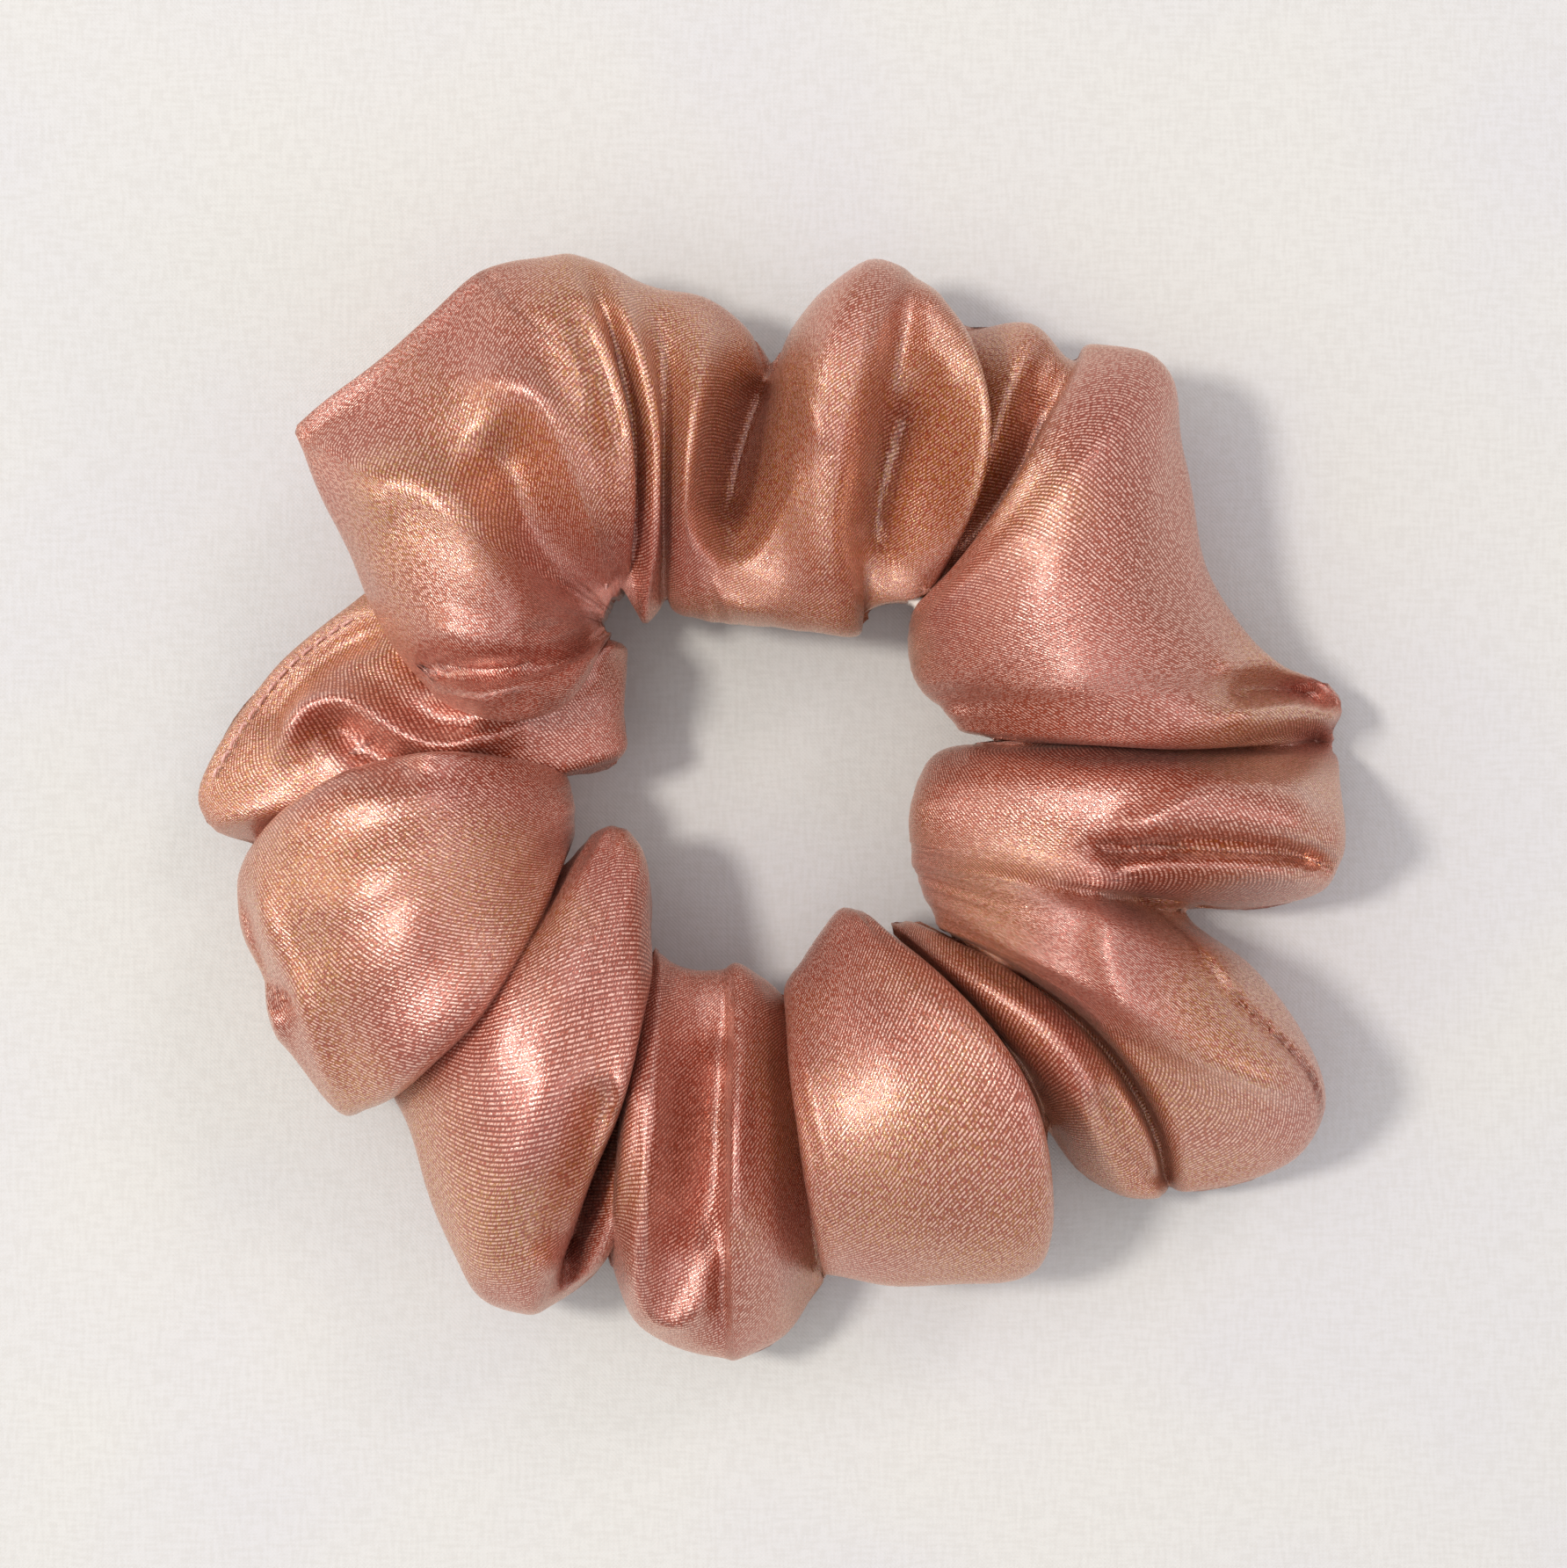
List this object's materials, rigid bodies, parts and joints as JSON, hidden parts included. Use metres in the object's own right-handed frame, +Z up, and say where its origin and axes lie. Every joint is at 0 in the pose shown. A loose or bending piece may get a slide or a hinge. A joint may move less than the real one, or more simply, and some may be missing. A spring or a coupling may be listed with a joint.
{
  "type": "scrunchie",
  "caption": "Round hair tie: a wide satin cover in deep puffy gathers on a hidden loop of flat elastic, stitched shut along its edge.",
  "frame": {"origin": "on the surface that the scrunchie lies on, under the middle of its outline", "axes": "+Z straight up through the ring's hole, +X the way it is stretched, towards the half that is drawn away, +Y across"},
  "size_m": [0.1206, 0.115, 0.033],
  "materials": {
    "satin": "dusty rose-gold polyester satin, shiny side out",
    "knitted_elastic": "matt white knitted elastic",
    "sewing_thread": "spun polyester thread, matched to the satin"
  },
  "bodies": {
    "left_half": {"satin_cover_gather_08": "satin", "satin_cover_gather_09": "satin", "satin_cover_gather_10": "satin", "satin_cover_gather_11": "satin", "satin_cover_gather_12": "satin", "satin_cover_gather_13": "satin", "elastic_upper_end": "knitted_elastic", "elastic_lower_end": "knitted_elastic", "elastic_lap_zigzag": "sewing_thread", "long_seam_thread_left": "sewing_thread", "cross_seam_thread": "sewing_thread", "closing_edge_stitch": "sewing_thread"},
    "right_half": {"satin_cover_gather_01": "satin", "satin_cover_gather_02": "satin", "satin_cover_gather_03": "satin", "satin_cover_gather_04": "satin", "satin_cover_gather_05": "satin", "satin_cover_gather_06": "satin", "satin_cover_gather_07": "satin", "elastic_right": "knitted_elastic", "long_seam_thread_right": "sewing_thread"}
  },
  "joints": [
    {"name": "stretch", "type": "slide", "parent": "left_half", "child": "right_half", "axis": [1, 0, 0], "range_m": [0, 0.07], "stiffness_N_per_m": 80}
  ]
}
